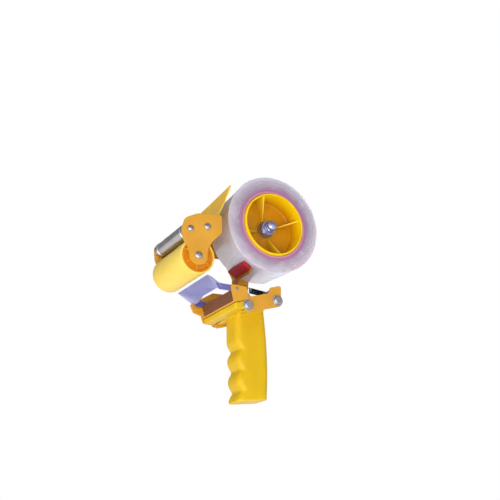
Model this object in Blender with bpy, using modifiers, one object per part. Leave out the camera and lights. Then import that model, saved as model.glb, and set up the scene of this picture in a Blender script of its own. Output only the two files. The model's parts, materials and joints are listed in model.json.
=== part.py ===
"""Hand-held tape gun dispenser: a sheet-steel frame on a moulded grip.

Millimetres are used for every named size and turned into metres by MM.
Frame: -X is the front (roller and blade), -Y is the open side of the hub,
+Z runs up the grip. The origin is the middle of the grip's flat butt.
"""
import math

import bmesh
import bpy

MM = 0.001
GAP = 0.3                      # clearance between neighbouring pieces

# ---- driving dimensions -------------------------------------------------
HUB_X, HUB_Z = 24.0, 200.0     # axis of the tape roll
ROLL_RADIUS = 57.5
ROLL_WIDTH = 48.0
CORE_INNER, CORE_OUTER = 37.8, 43.3
HUB_RADIUS = 37.3
HUB_FLANGE = 46.0              # flange behind the roll
HUB_NEAR, HUB_FAR = -26.5, 26.7
HUB_VANES = (17, 107, 197, 287)      # degrees round the hub, from +X towards +Z

FRAME_HALF = 40.3              # half width over the base channel's walls
SHEET = 2.0                    # thickness of the frame's steel
PLATE_IN = FRAME_HALF + GAP    # inner face of both side plates
PLATE_OUT = PLATE_IN + SHEET

ROLLER_X, ROLLER_Z, ROLLER_RADIUS = -77.6, 143.9, 19.5
SLEEVE_BORE = 17.6
GUIDE_X, GUIDE_Z, GUIDE_RADIUS = -87.0, 172.5, 8.5
GUIDE_HALF = 40.0
FLAP_X, FLAP_Z = -67.3, 177.5
FLAP_HALF = 37.0
FLAP_TOP_NEAR, FLAP_TOP_FAR = 233.0, 224.0    # the flap's top edge slopes

BASE_X, BASE_Z = -35.7, 99.8   # front top edge of the base plate
BASE_TILT = math.radians(15.5)
BASE_LENGTH = 57.0
REAR_WALL = 18.0               # front face of the wall behind the spring
SHELF_SCREWS = ((6.2, -24.0), (6.2, 24.0))        # along the plate, Y
BRACKET_RIVETS = ((37.0, -12.0), (37.0, 12.0))
SPRING_Y, ADJUSTER_Z = -22.2, 118.0

BLADE_X, BLADE_Z = -66.7, 125.4
BLADE_TILT = math.radians(31.3)
BLADE_HALF = 40.0
BLADE_SHEET = 1.0
TOOTH_PITCH, TOOTH_DEPTH = 2.5, 2.0
ARM_IN, ARM_OUT = 36.8, 38.0   # the blade's two side arms
BLADE_SCREW = (-31.5, 113.7)

BRAKE_X, BRAKE_Z = -12.0, 112.0
PAD_HALF = 18.8
PAD_ANGLE = math.radians(237.5)
PAD_HEIGHT, PAD_THICKNESS = 11.0, 4.6
PAD_GAP = 0.5

GRIP_HALF = 15.5
GRIP_EDGE = 7.0                # roundness of the grip's long edges
GRIP_TOP = 97.0
FINGER_PITCH, FINGER_DEPTH = 22.3, 2.4
FINGER_TOP = 66.0              # the front is plain above the last finger ridge
GRIP_FRONT, GRIP_TAPER = -20.4, 1.8
BUTT_TILT = math.radians(5.0)  # the butt is a little lower at the front
SADDLE_HALF = FRAME_HALF - SHEET - 0.4
BOLT_SPOTS = ((-18.8, 96.5), (17.2, 105.4))

# ---- colours ------------------------------------------------------------
FRAME_PAINT = (0.86, 0.42, 0.03)
GRIP_YELLOW = (0.86, 0.52, 0.0)
CAP_ORANGE = (0.90, 0.36, 0.01)
SLEEVE_YELLOW = (0.93, 0.72, 0.22)
HUB_YELLOW = (0.92, 0.47, 0.01)
STEEL = (0.55, 0.56, 0.60)
ZINC = (0.56, 0.62, 0.74)
BLUED = (0.30, 0.32, 0.55)
RED = (0.55, 0.02, 0.03)
BLACK = (0.02, 0.02, 0.03)
FIBRE = (0.25, 0.16, 0.09)
BRONZE = (0.16, 0.05, 0.015)
TAPE = (0.70, 0.64, 0.74)
CORE = (0.62, 0.26, 0.45)


# ---- helpers ------------------------------------------------------------
def clear_scene():
    for obj in list(bpy.data.objects):
        bpy.data.objects.remove(obj, do_unlink=True)


def new_collection(name):
    collection = bpy.data.collections.new(name)
    bpy.context.scene.collection.children.link(collection)
    return collection


clear_scene()
PARTS = new_collection("tape_gun")
CUTTERS = new_collection("cutters")


def material(name, colour, roughness, metallic=0.0):
    made = bpy.data.materials.new(name)
    made.use_nodes = True
    shader = made.node_tree.nodes["Principled BSDF"]
    shader.inputs["Base Color"].default_value = (*colour, 1.0)
    shader.inputs["Roughness"].default_value = roughness
    shader.inputs["Metallic"].default_value = metallic
    return made


def add(name, data, collection=None):
    obj = bpy.data.objects.new(name, data)
    (collection or PARTS).objects.link(obj)
    return obj


def paint(obj, colour, roughness=0.45, metallic=0.0):
    obj.data.materials.clear()
    obj.data.materials.append(material(obj.name, colour, roughness, metallic))
    return obj


def arc(cx, cz, radius, start, end, steps):
    """Points on an arc, angles in degrees, both ends included."""
    points = []
    for i in range(steps + 1):
        a = math.radians(start + (end - start) * i / steps)
        points.append((cx + radius * math.cos(a), cz + radius * math.sin(a)))
    return points


def circle(cx, cz, radius, steps=20):
    return arc(cx, cz, radius, 0, 360 * (steps - 1) / steps, steps - 1)


def rounded(corners, steps=5):
    """Closed outline: (x, z, radius) becomes a fillet, (x, z) stays sharp."""
    points = []
    for i, corner in enumerate(corners):
        x, z = corner[:2]
        radius = corner[2] if len(corner) > 2 else 0
        if radius == 0:
            points.append((x, z))
            continue
        ends = []
        for px, pz in (corners[i - 1][:2], corners[(i + 1) % len(corners)][:2]):
            length = math.hypot(px - x, pz - z)
            ends.append(((px - x) / length, (pz - z) / length))
        (ax, az), (bx, bz) = ends
        half = math.acos(max(-1.0, min(1.0, ax * bx + az * bz))) / 2
        run = radius / math.tan(half)
        for j in range(steps + 1):
            t = j / steps
            wa, wb = (1 - t) ** 2 * run, t ** 2 * run
            points.append((x + ax * wa + bx * wb, z + az * wa + bz * wb))
    return points


def strip(path, thickness):
    """Outline of a sheet of even thickness that follows a bent path."""
    left, right = [], []
    for i, (x, z) in enumerate(path):
        x0, z0 = path[max(i - 1, 0)]
        x1, z1 = path[min(i + 1, len(path) - 1)]
        length = math.hypot(x1 - x0, z1 - z0)
        nx, nz = -(z1 - z0) / length, (x1 - x0) / length
        left.append((x + nx * thickness / 2, z + nz * thickness / 2))
        right.append((x - nx * thickness / 2, z - nz * thickness / 2))
    return left + right[::-1]


def flat_curve(name, outlines, half_thickness):
    """Flat plate as a 2D curve: the first outline less the others."""
    curve = bpy.data.curves.new(name, "CURVE")
    curve.dimensions = "2D"
    curve.fill_mode = "BOTH"
    curve.extrude = half_thickness * MM
    for outline in outlines:
        spline = curve.splines.new("POLY")
        spline.points.add(len(outline) - 1)
        for point, (a, b) in zip(spline.points, outline):
            point.co = (a * MM, b * MM, 0.0, 1.0)
        spline.use_cyclic_u = True
    return add(name, curve)


def side_plate(name, outlines, y0, y1):
    """Plate whose outline is drawn in X and Z, between two Y values."""
    obj = flat_curve(name, outlines, abs(y1 - y0) / 2)
    obj.rotation_euler = (math.pi / 2, 0.0, 0.0)
    obj.location = (0.0, (y0 + y1) / 2 * MM, 0.0)
    return obj


def front_plate(name, outlines, x0, x1):
    """Plate whose outline is drawn in Y and Z, between two X values."""
    obj = flat_curve(name, outlines, abs(x1 - x0) / 2)
    obj.rotation_euler = (math.pi / 2, 0.0, math.pi / 2)
    obj.location = ((x0 + x1) / 2 * MM, 0.0, 0.0)
    return obj


def turned(name, profile, x, z, steps=32):
    """Solid turned about an axis along Y; profile is (radius, y) pairs.

    The profile runs down its outer side from +Y to -Y and comes back
    along the bore, or along the axis when its radius is zero.
    """
    mesh = bpy.data.meshes.new(name)
    points = [(r * MM, 0.0, y * MM) for r, y in profile]
    closed = profile[0][0] > 0
    edges = [(i, i + 1) for i in range(len(points) - 1)]
    if closed:
        edges.append((len(points) - 1, 0))
    mesh.from_pydata(points, edges, [])
    obj = add(name, mesh)
    screw = obj.modifiers.new("turn", "SCREW")
    screw.axis = "Z"
    screw.steps = steps
    screw.render_steps = steps
    screw.use_merge_vertices = True
    screw.merge_threshold = 0.00001
    obj.rotation_euler = (-math.pi / 2, 0.0, 0.0)
    obj.location = (x * MM, 0.0, z * MM)
    return obj


def tube(outer, inner, y0, y1):
    """Profile of a plain tube between y0 < y1."""
    return [(outer, y1), (outer, y0), (inner, y0), (inner, y1)]


def frozen(obj, name=None, collection=None):
    """Turn a curve or a modified mesh into a plain welded mesh."""
    graph = bpy.context.evaluated_depsgraph_get()
    mesh = bpy.data.meshes.new_from_object(obj.evaluated_get(graph))
    mesh.transform(obj.matrix_world)
    shape = bmesh.new()
    shape.from_mesh(mesh)
    bmesh.ops.remove_doubles(shape, verts=shape.verts, dist=1e-6)
    bmesh.ops.recalc_face_normals(shape, faces=shape.faces)
    shape.to_mesh(mesh)
    shape.free()
    made_name = name or obj.name
    bpy.data.objects.remove(obj, do_unlink=True)
    return add(made_name, mesh, collection)


def combine(name, first, others, operation):
    """Boolean the others into or out of the first, as one plain mesh."""
    bpy.context.view_layer.update()
    result = frozen(first, name + "_body", CUTTERS)
    for i, other in enumerate(others):
        bpy.context.view_layer.update()
        tool = frozen(other, f"{name}_tool_{i}", CUTTERS)
        step = result.modifiers.new("bool", "BOOLEAN")
        step.operation = operation
        step.object = tool
        bpy.context.view_layer.update()
        result = frozen(result, name + "_body", CUTTERS)
        bpy.data.objects.remove(tool, do_unlink=True)
    mesh = result.data
    bpy.data.objects.remove(result, do_unlink=True)
    mesh.name = name
    return add(name, mesh)


def set_origin(obj, x, y, z):
    """Move the origin of a plain mesh onto its joint's axis."""
    for vertex in obj.data.vertices:
        vertex.co.x -= x * MM
        vertex.co.y -= y * MM
        vertex.co.z -= z * MM
    obj.location = (x * MM, y * MM, z * MM)
    return obj


def base_point(along, above):
    """Point given along and above the tilted base plate's top face."""
    x = BASE_X + along * math.cos(BASE_TILT) - above * math.sin(BASE_TILT)
    z = BASE_Z + along * math.sin(BASE_TILT) + above * math.cos(BASE_TILT)
    return (x, z)


def base_rod(name, profile, along, y, steps=12):
    """Solid turned about a normal of the base plate; (radius, height)."""
    obj = turned(name, profile, 0.0, 0.0, steps)
    x, z = base_point(along, 0.0)
    obj.rotation_euler = (0.0, -BASE_TILT, 0.0)
    obj.location = (x * MM, y * MM, z * MM)
    return obj


def rod(name, radius, x, z, y0, y1, steps=16):
    profile = [(0, y1), (radius, y1), (radius, y0), (0, y0)]
    return turned(name, profile, x, z, steps)


# ---- frame --------------------------------------------------------------
def head_lobe():
    """Lower lobe of both head plates, round the roller's axle."""
    return arc(ROLLER_X, ROLLER_Z, 10.5, 172, 368, 18)


def axle_holes():
    """Holes that both head plates need: roller, guide roller and flap."""
    return [circle(ROLLER_X, ROLLER_Z, 3.3),
            circle(GUIDE_X, GUIDE_Z, 3.0),
            circle(FLAP_X, FLAP_Z, 2.8)]


def make_head_side_plate():
    outline = head_lobe()
    outline += [(-66.3, 152.5), (-62.0, 160.5, 6.0), (-50.2, 173.0, 6.0), (-50.2, 193.4, 4.0),
                (-79.0, 190.8, 10.0), (-93.0, 184.0, 8.0), (-97.0, 172.0, 6.0),
                (-95.0, 160.0, 8.0), (-90.5, 152.0, 4.0)]
    plate = side_plate("head_side_plate", [rounded(outline)] + axle_holes(), -PLATE_OUT, -PLATE_IN)
    paint(plate, FRAME_PAINT)


def make_side_frame():
    """Far plate: head, arm over to the hub boss, and neck to the base."""
    outline = head_lobe()
    outline += [(-66.0, 153.0), (-58.0, 172.0, 8.0), (-9.0, 173.0, 10.0)]
    outline += [(3.0, 150.0, 6.0), (3.0, 130.5, 5.0), (-23.0, 130.0, 3.0)]
    outline += [(-51.0, 113.5, 3.0), (-46.5, 104.5, 2.0), (-37.0, 101.5, 1.0)]
    outline += [(-34.5, 93.5, 1.0), (-14.0, 91.0, 2.0), (22.0, 99.5, 2.0)]
    outline += [(22.0, 126.0, 3.0), (23.0, 140.0, 8.0), (27.0, 172.0, 8.0)]
    outline += arc(HUB_X, HUB_Z, 22.0, -65, 100, 18)
    outline += [(-2.0, 212.0, 12.0), (-52.0, 193.4, 10.0), (-76.0, 190.2, 12.0)]
    outline += arc(GUIDE_X, GUIDE_Z, GUIDE_RADIUS - GAP, 70, 185, 10)
    outline += [(-94.0, 160.0, 8.0), (-90.5, 152.0, 4.0)]
    holes = axle_holes() + [circle(HUB_X, HUB_Z, 4.3)]
    holes += [circle(x, z, 2.8) for x, z in BOLT_SPOTS]
    frame = side_plate("side_frame", [rounded(outline)] + holes, PLATE_IN, PLATE_OUT)
    paint(frame, FRAME_PAINT)


def wall_outline():
    """Side wall of the base: hanging flange with a front and a rear ear."""
    front_low = base_point(0.0, -1.8)
    step_top = base_point(12.0, -1.8)
    step_low = base_point(13.0, -15.5)
    rear_low = base_point(BASE_LENGTH - 2.0, -15.5)
    dip_rear = base_point(44.0, 1.0)
    dip_front = base_point(18.2, 1.0)
    return rounded([(*front_low, 0.8), (*step_top, 1.5), (*step_low, 2.0), (*rear_low, 2.0),
                    (22.0, 122.5, 2.0), (9.0, 119.4, 2.0), (*dip_rear, 2.0),
                    (*dip_front, 2.0), (-19.8, 116.8, 2.0), (-39.3, 117.5, 2.0)], 4)


def make_base_channel():
    """Tilted plate, two side walls and a short rear spring wall."""
    top = [base_point(0.0, 0.0), base_point(BASE_LENGTH, 0.0)]
    under = [base_point(BASE_LENGTH, -1.8), base_point(0.0, -1.8)]
    plate = side_plate("base_plate", [top + under], -FRAME_HALF + 0.5, FRAME_HALF - 0.5)
    walls = []
    for side in (-1, 1):
        holes = [circle(x, z, 2.8) for x, z in BOLT_SPOTS]
        holes.append(circle(*BLADE_SCREW, 1.9, 16))
        outer, inner = side * FRAME_HALF, side * (FRAME_HALF - SHEET)
        walls.append(side_plate("wall", [wall_outline()] + holes, outer, inner))
    rear = [(-39.0, 113.7), (-13.0, 113.7), (-13.0, 122.3), (-39.0, 122.3)]
    adjuster_hole = circle(SPRING_Y, ADJUSTER_Z, 2.2, 12)
    walls.append(front_plate("rear_wall", [rear, adjuster_hole], REAR_WALL, REAR_WALL + 1.9))
    blank = combine("base_blank", plate, walls, "UNION")
    drills = [base_rod("drill", [(0, 5), (1.7, 5), (1.7, -5), (0, -5)], along, y)
              for along, y in SHELF_SCREWS + BRACKET_RIVETS]
    paint(combine("base_channel", blank, drills, "DIFFERENCE"), FRAME_PAINT)


# ---- head ---------------------------------------------------------------
def make_rivet(name, x, z, shank, head, y_near, y_far):
    """Double-headed rivet that crosses the head from plate to plate."""
    dome = head * 0.55
    profile = [(0, y_far + 2.0), (dome, y_far + 1.9), (head, y_far + 0.8), (head, y_far),
               (shank, y_far), (shank, y_near), (head, y_near),
               (head, y_near - 0.8), (dome, y_near - 1.9), (0, y_near - 2.0)]
    paint(turned(name, profile, x, z, 16), STEEL, 0.35, 0.9)


def make_roller():
    """Sleeve over the full width, with a dished cap plugged into each end."""
    edge = PLATE_IN - 0.4
    plug = 27.0                # inner end of a cap
    sleeve = tube(ROLLER_RADIUS, SLEEVE_BORE, -edge, edge)
    paint(turned("roller_sleeve", sleeve, ROLLER_X, ROLLER_Z, 32), SLEEVE_YELLOW, 0.4)
    skirt = SLEEVE_BORE - GAP
    for name, sign in (("roller_cap_near", -1), ("roller_cap_far", 1)):
        ring = [(skirt, edge - 0.6), (skirt, plug), (skirt - 2.0, plug), (skirt - 2.0, 35.5),
                (6.5, 35.5), (6.5, plug), (3.05, plug), (3.05, edge), (7.0, edge), (7.0, 37.5),
                (skirt - 2.0, 37.5), (skirt - 1.2, edge - 0.2), (skirt - 0.4, edge - 0.2)]
        if sign < 0:
            ring = [(r, -y) for r, y in reversed(ring)]
        paint(turned(name, ring, ROLLER_X, ROLLER_Z, 32), CAP_ORANGE, 0.4)
    make_rivet("roller_axle", ROLLER_X, ROLLER_Z, 3.0, 4.2, -PLATE_OUT - GAP, PLATE_OUT + GAP)


def make_guide_roller():
    """Small steel roller with a groove near each end."""
    half = GUIDE_HALF
    profile = [(GUIDE_RADIUS - 0.8, half), (GUIDE_RADIUS, half - 0.8)]
    for centre in (32.0, -32.0):
        profile += [(GUIDE_RADIUS, centre + 1.0), (GUIDE_RADIUS - 0.7, centre + 0.6),
                    (GUIDE_RADIUS - 0.7, centre - 0.6), (GUIDE_RADIUS, centre - 1.0)]
    profile += [(GUIDE_RADIUS, -half + 0.8), (GUIDE_RADIUS - 0.8, -half),
                (2.75, -half), (2.75, half)]
    paint(turned("guide_roller", profile, GUIDE_X, GUIDE_Z, 24), STEEL, 0.3, 0.9)
    make_rivet("guide_roller_axle", GUIDE_X, GUIDE_Z, 2.7, 3.4, -PLATE_OUT - GAP, PLATE_OUT + GAP)


def make_flap():
    """Sheet guard that hinges in the head and leans over the roll."""
    path = [(FLAP_X + 2.0, FLAP_Z + 2.4), (-57.5, 189.0), (-51.0, 197.5),
            (-45.0, 210.0), (-40.3, 222.0), (-36.4, 233.0)]
    sheet = side_plate("flap_sheet", [strip(path, 1.5)], -FLAP_HALF, FLAP_HALF)
    barrel = rod("flap_barrel", 3.8, FLAP_X, FLAP_Z, -FLAP_HALF, FLAP_HALF, 20)
    body = combine("flap_blank", barrel, [sheet], "UNION")
    bore = rod("flap_bore", 2.6, FLAP_X, FLAP_Z, -60, 60)
    slope = (FLAP_TOP_FAR - FLAP_TOP_NEAR) / FLAP_HALF / 2
    above = [(-FLAP_HALF - 1, FLAP_TOP_NEAR - slope), (FLAP_HALF + 1, FLAP_TOP_FAR + slope),
             (FLAP_HALF + 1, FLAP_TOP_NEAR + 5), (-FLAP_HALF - 1, FLAP_TOP_NEAR + 5)]
    trim = front_plate("flap_trim", [above], FLAP_X, 0.0)
    flap = combine("flap", body, [bore, trim], "DIFFERENCE")
    paint(set_origin(flap, FLAP_X, 0, FLAP_Z), FRAME_PAINT)
    make_rivet("flap_pin", FLAP_X, FLAP_Z, 2.5, 3.7, -PLATE_OUT - GAP, PLATE_OUT + GAP)


# ---- hub and roll -------------------------------------------------------
def make_hub():
    """Open cup with a web, a boss and tapering vanes."""
    wall = HUB_RADIUS - 2.2
    shell = [(HUB_RADIUS, 24.6), (HUB_RADIUS, HUB_NEAR + 2.0), (HUB_RADIUS - 0.8, HUB_NEAR),
             (wall, HUB_NEAR), (wall, 0.0), (11.0, 0.0), (11.0, -2.5), (4.1, -2.5),
             (4.1, HUB_FAR), (11.0, HUB_FAR), (11.0, 2.5), (wall, 2.5),
             (wall, HUB_FAR), (HUB_FLANGE, HUB_FAR), (HUB_FLANGE, 24.6)]
    cup = turned("hub_shell", shell, HUB_X, HUB_Z, 40)
    vanes = []
    for degrees in HUB_VANES:
        angle = math.radians(degrees)
        side = [(9.0, -2.0), (wall + 1.0, -22.0), (wall + 1.0, 1.0), (9.0, 1.0)]
        vane = flat_curve("vane", [side], 0.9)
        vane.rotation_euler = (0.0, -angle, 0.0)
        vane.location = (HUB_X * MM, 0.0, HUB_Z * MM)
        vanes.append(vane)
    hub = combine("hub", cup, vanes, "UNION")
    paint(set_origin(hub, HUB_X, 0, HUB_Z), HUB_YELLOW, 0.4)


def make_roll():
    half = ROLL_WIDTH / 2
    core = turned("tape_core", tube(CORE_OUTER, CORE_INNER, -half, half), HUB_X, HUB_Z, 40)
    paint(core, CORE, 0.6)
    film = turned("tape_roll", tube(ROLL_RADIUS, CORE_OUTER + GAP, -half, half), HUB_X, HUB_Z, 56)
    paint(film, TAPE, 0.2)


def hex_prism(name, across, x, z, y0, y1):
    """Hexagonal prism along Y, given across its corners."""
    return turned(name, [(0, y1), (across / 2, y1), (across / 2, y0), (0, y0)], x, z, 6)


def make_axle():
    """Hub axle: hex head outside the frame, long shank, plain end."""
    head = hex_prism("axle_head", 15.0, HUB_X, HUB_Z, PLATE_OUT + GAP, PLATE_OUT + 5.8)
    shank = rod("axle_shank", 4.0, HUB_X, HUB_Z, -20.5, PLATE_OUT + 2.0, 20)
    paint(combine("hub_axle", head, [shank], "UNION"), ZINC, 0.35, 0.9)
    spacer = turned("hub_spacer", tube(8.0, 4.1, HUB_FAR + GAP, PLATE_IN - GAP), HUB_X, HUB_Z, 24)
    paint(spacer, STEEL, 0.4, 0.9)


def make_tension_stack():
    """Fibre washer, coil spring, steel washer and cap nut on the axle."""
    fibre = turned("friction_washer", tube(10.0, 4.3, -4.1, -2.8), HUB_X, HUB_Z, 24)
    paint(fibre, FIBRE, 0.8)
    spring = bpy.data.curves.new("tension_spring", "CURVE")
    spring.dimensions = "3D"
    spring.bevel_depth = 0.7 * MM
    spring.bevel_resolution = 2
    spring.use_fill_caps = True
    turns, per_turn, radius = 3.0, 14, 6.2
    count = int(turns * per_turn)
    line = spring.splines.new("POLY")
    line.points.add(count)
    for i, point in enumerate(line.points):
        angle = 2 * math.pi * i / per_turn
        y = -5.15 - 5.6 * i / count
        point.co = ((HUB_X + radius * math.cos(angle)) * MM, y * MM,
                    (HUB_Z + radius * math.sin(angle)) * MM, 1.0)
    paint(add("tension_spring", spring), STEEL, 0.35, 0.9)
    washer = turned("tension_washer", tube(8.6, 4.3, -13.1, -11.8), HUB_X, HUB_Z, 24)
    paint(washer, ZINC, 0.35, 0.9)
    body = hex_prism("nut_body", 14.6, HUB_X, HUB_Z, -18.9, -13.4)
    dome = [(0, -14.0), (5.9, -14.0)]
    dome += [(6.3 * math.cos(a), -19.0 - 5.4 * math.sin(a)) for a in (0.0, 0.4, 0.8, 1.2)]
    dome += [(0, -24.4)]
    cap = turned("nut_dome", dome, HUB_X, HUB_Z, 24)
    blank = combine("nut_blank", body, [cap], "UNION")
    bore = rod("nut_bore", 4.1, HUB_X, HUB_Z, -21.5, 0, 20)
    nut = combine("tension_nut", blank, [bore], "DIFFERENCE")
    paint(set_origin(nut, HUB_X, 0, HUB_Z), ZINC, 0.3, 0.9)


# ---- blade --------------------------------------------------------------
def blade_outline():
    """Toothed front edge along Y at u = 0, body towards +u."""
    points = []
    count = int(2 * BLADE_HALF / TOOTH_PITCH)
    for i in range(count):
        y = -BLADE_HALF + i * TOOTH_PITCH
        points.append((TOOTH_DEPTH, y))
        points.append((0.0, y + TOOTH_PITCH / 2))
    points.append((TOOTH_DEPTH, BLADE_HALF))
    points += [(23.3, BLADE_HALF), (23.3, 26.0), (19.5, 6.0), (19.5, -26.0),
               (21.0, -ARM_OUT), (17.0, -BLADE_HALF)]
    return points


def make_blade():
    face = flat_curve("blade_face", [blade_outline()], BLADE_SHEET / 2)
    face.rotation_euler = (0.0, BLADE_TILT, 0.0)
    face.location = (BLADE_X * MM, 0.0, BLADE_Z * MM)
    arms = []
    near = [(-56.0, 119.1), (-49.0, 117.9, 3.0), (-25.5, 117.0, 2.0),
            (-25.5, 110.4, 2.0), (-52.0, 111.3, 2.0)]
    far = [(-51.0, 116.3), (-44.0, 117.6, 2.0), (-25.5, 117.0, 2.0),
           (-25.5, 110.4, 2.0), (-43.0, 110.8, 2.0)]
    for side, outline in ((-1, near), (1, far)):
        arm = rounded(outline, 4)
        hole = circle(*BLADE_SCREW, 1.9, 16)
        arms.append(side_plate("arm", [arm, hole], side * ARM_IN, side * ARM_OUT))
    paint(combine("blade", face, arms, "UNION"), BLUED, 0.3, 0.9)
    for name, side in (("blade_screw_near", -1), ("blade_screw_far", 1)):
        head_in, head_out, tip = ARM_IN - 2.6, ARM_IN - GAP, FRAME_HALF
        profile = [(0, tip), (1.6, tip), (1.6, head_out), (3.1, head_out),
                   (3.1, head_in + 0.6), (2.4, head_in), (0, head_in)]
        if side < 0:
            profile = [(r, -y) for r, y in reversed(profile)]
        paint(turned(name, profile, *BLADE_SCREW, 16), STEEL, 0.35, 0.9)


# ---- brake --------------------------------------------------------------
def pad_point(radial, along):
    """Point by distance from the roll's axis and along the pad's face."""
    ex, ez = math.cos(PAD_ANGLE), math.sin(PAD_ANGLE)
    return (HUB_X + radial * ex - along * ez, HUB_Z + radial * ez + along * ex)


def make_blade_shelf():
    """Bent strip on the base plate's front edge that backs the blade."""
    leg, sheet = 12.0, 1.5
    front, rear = 0.6, 10.0    # along the base plate
    outline = [base_point(front, GAP), base_point(rear, GAP), base_point(rear, GAP + sheet),
               base_point(front + sheet, GAP + sheet), base_point(front + sheet, leg),
               base_point(front, leg)]
    blank = side_plate("shelf_blank", [outline], -36.0, 36.0)
    drills = [base_rod("drill", [(0, 5), (1.7, 5), (1.7, -5), (0, -5)], along, y)
              for along, y in SHELF_SCREWS]
    paint(combine("blade_shelf", blank, drills, "DIFFERENCE"), BRONZE, 0.5, 0.3)
    for (along, y), place in zip(SHELF_SCREWS, ("near", "far")):
        screw = [(0, 4.0), (1.8, 3.9), (2.6, 3.2), (2.6, 2.1), (1.4, 2.1), (1.4, -1.7), (0, -1.7)]
        paint(base_rod(f"shelf_screw_{place}", screw, along, y, 16), STEEL, 0.35, 0.9)


def make_brake_pad():
    """Rubber block whose shallow V meets the roll's film."""
    inner = ROLL_RADIUS + PAD_GAP
    outer = inner + PAD_THICKNESS
    half = PAD_HEIGHT / 2
    corners = [pad_point(inner + 0.3, -half), pad_point(outer, -half),
               pad_point(outer, half), pad_point(inner + 0.3, half), pad_point(inner, 0.0)]
    block = side_plate("pad_block", [corners], -PAD_HALF, PAD_HALF)
    bpy.context.view_layer.update()
    pad = frozen(block, "brake_pad")
    paint(set_origin(pad, BRAKE_X, 0, BRAKE_Z), RED, 0.5)


def make_brake_arm():
    """Sheet lever: pad shelf, offset strap, cross bar and hinge barrel."""
    inner = ROLL_RADIUS + PAD_GAP + 1.0
    shelf_along = PAD_HEIGHT / 2 + GAP + 1.0
    shelf_tip = pad_point(inner, shelf_along)
    shelf_root = pad_point(inner + 7.5, shelf_along)
    shelf = side_plate("shelf", [strip([shelf_tip, shelf_root], 2.0)], -PAD_HALF + 0.8, PAD_HALF - 0.8)
    strap_path = [pad_point(inner + 6.5, shelf_along), (BRAKE_X, 130.0), (BRAKE_X, 118.0)]
    strap = side_plate("strap", [strip(strap_path, 2.3)], 3.5, PAD_HALF)
    face = rounded([(-17.5, 113.0), (17.5, 113.0), (17.5, 125.5, 2.0), (-18.5, 125.5, 2.0),
                    (-24.8, 123.0, 1.0), (-24.8, 117.4, 1.0), (-17.5, 117.4)], 4)
    bar = front_plate("bar", [face], BRAKE_X - 1.0, BRAKE_X + 1.0)
    barrel = rod("barrel", 3.6, BRAKE_X, BRAKE_Z, -20.6, 20.6, 20)
    blank = combine("brake_blank", barrel, [bar, strap, shelf], "UNION")
    bore = rod("brake_bore", 2.1, BRAKE_X, BRAKE_Z, -60, 60)
    eye = front_plate("eye", [circle(SPRING_Y, 120.2, 1.5, 12)], BRAKE_X - 4.0, BRAKE_X + 4.0)
    arm = combine("brake_arm", blank, [bore, eye], "DIFFERENCE")
    paint(set_origin(arm, BRAKE_X, 0, BRAKE_Z), FRAME_PAINT)


def make_brake_bracket():
    """U bracket on the base plate that carries the brake's pin."""
    foot = [base_point(14.0, GAP), base_point(41.0, GAP),
            base_point(41.0, GAP + 1.2), base_point(14.0, GAP + 1.2)]
    feet = side_plate("foot", [foot], -22.8, 22.8)
    lugs = []
    for side in (-1, 1):
        lug = rounded([base_point(18.0, GAP + 0.2), base_point(34.0, GAP + 0.2), (-7.2, 113.2, 2.0),
                       (-9.3, 115.9, 2.0), (-14.7, 115.9, 2.0), (-17.2, 111.9, 2.0)], 4)
        hole = circle(BRAKE_X, BRAKE_Z, 2.05, 16)
        lugs.append(side_plate("lug", [lug, hole], side * 21.1, side * 22.7))
    blank = combine("bracket_blank", feet, lugs, "UNION")
    drills = [base_rod("drill", [(0, 5), (1.7, 5), (1.7, -5), (0, -5)], along, y)
              for along, y in BRACKET_RIVETS]
    paint(combine("brake_bracket", blank, drills, "DIFFERENCE"), STEEL, 0.35, 0.9)
    for (along, y), place in zip(BRACKET_RIVETS, ("near", "far")):
        rivet = [(0, 3.3), (1.6, 3.1), (2.8, 1.8), (1.4, 1.8), (1.4, -1.7), (0, -1.7)]
        paint(base_rod(f"bracket_rivet_{place}", rivet, along, y, 16), STEEL, 0.35, 0.9)
    pin = [(0, 24.2), (3.0, 24.2), (3.0, 23.0), (2.0, 23.0),
           (2.0, -23.0), (3.0, -23.0), (3.0, -24.2), (0, -24.2)]
    paint(turned("brake_pin", pin, BRAKE_X, BRAKE_Z, 16), STEEL, 0.35, 0.9)


def make_brake_spring():
    """Black tension spring from the lever's ear to the adjuster's eye."""
    radius, pitch, per_turn, turns = 2.7, 1.5, 10, 12
    start, front_z, drop = -6.8, 118.6, 2.2
    hook_z = front_z + 1.6
    points = [(BRAKE_X - 2.2, SPRING_Y, hook_z - 0.5), (BRAKE_X - 1.2, SPRING_Y, hook_z),
              (BRAKE_X + 2.4, SPRING_Y, hook_z), (start - 1.4, SPRING_Y, front_z + 2.0)]
    count = turns * per_turn
    for i in range(count + 1):
        angle = 2 * math.pi * i / per_turn
        points.append((start + pitch * i / per_turn,
                       SPRING_Y + radius * math.sin(angle),
                       front_z - drop * i / count + radius * math.cos(angle)))
    end = start + pitch * turns
    points += [(end + 1.0, SPRING_Y, ADJUSTER_Z + 0.6), (end + 2.0, SPRING_Y, ADJUSTER_Z)]
    curve = bpy.data.curves.new("brake_spring", "CURVE")
    curve.dimensions = "3D"
    curve.bevel_depth = 0.5 * MM
    curve.bevel_resolution = 1
    curve.use_fill_caps = True
    line = curve.splines.new("POLY")
    line.points.add(len(points) - 1)
    for point, (px, py, pz) in zip(line.points, points):
        point.co = (px * MM, py * MM, pz * MM, 1.0)
    paint(add("brake_spring", curve), BLACK, 0.4, 0.5)


def turned_x(name, profile, y, z, steps=20):
    """Solid turned about an axis along X; profile is (radius, x) pairs."""
    obj = turned(name, profile, 0.0, 0.0, steps)
    obj.rotation_euler = (0.0, math.pi / 2, 0.0)
    obj.location = (0.0, y * MM, z * MM)
    return obj


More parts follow.
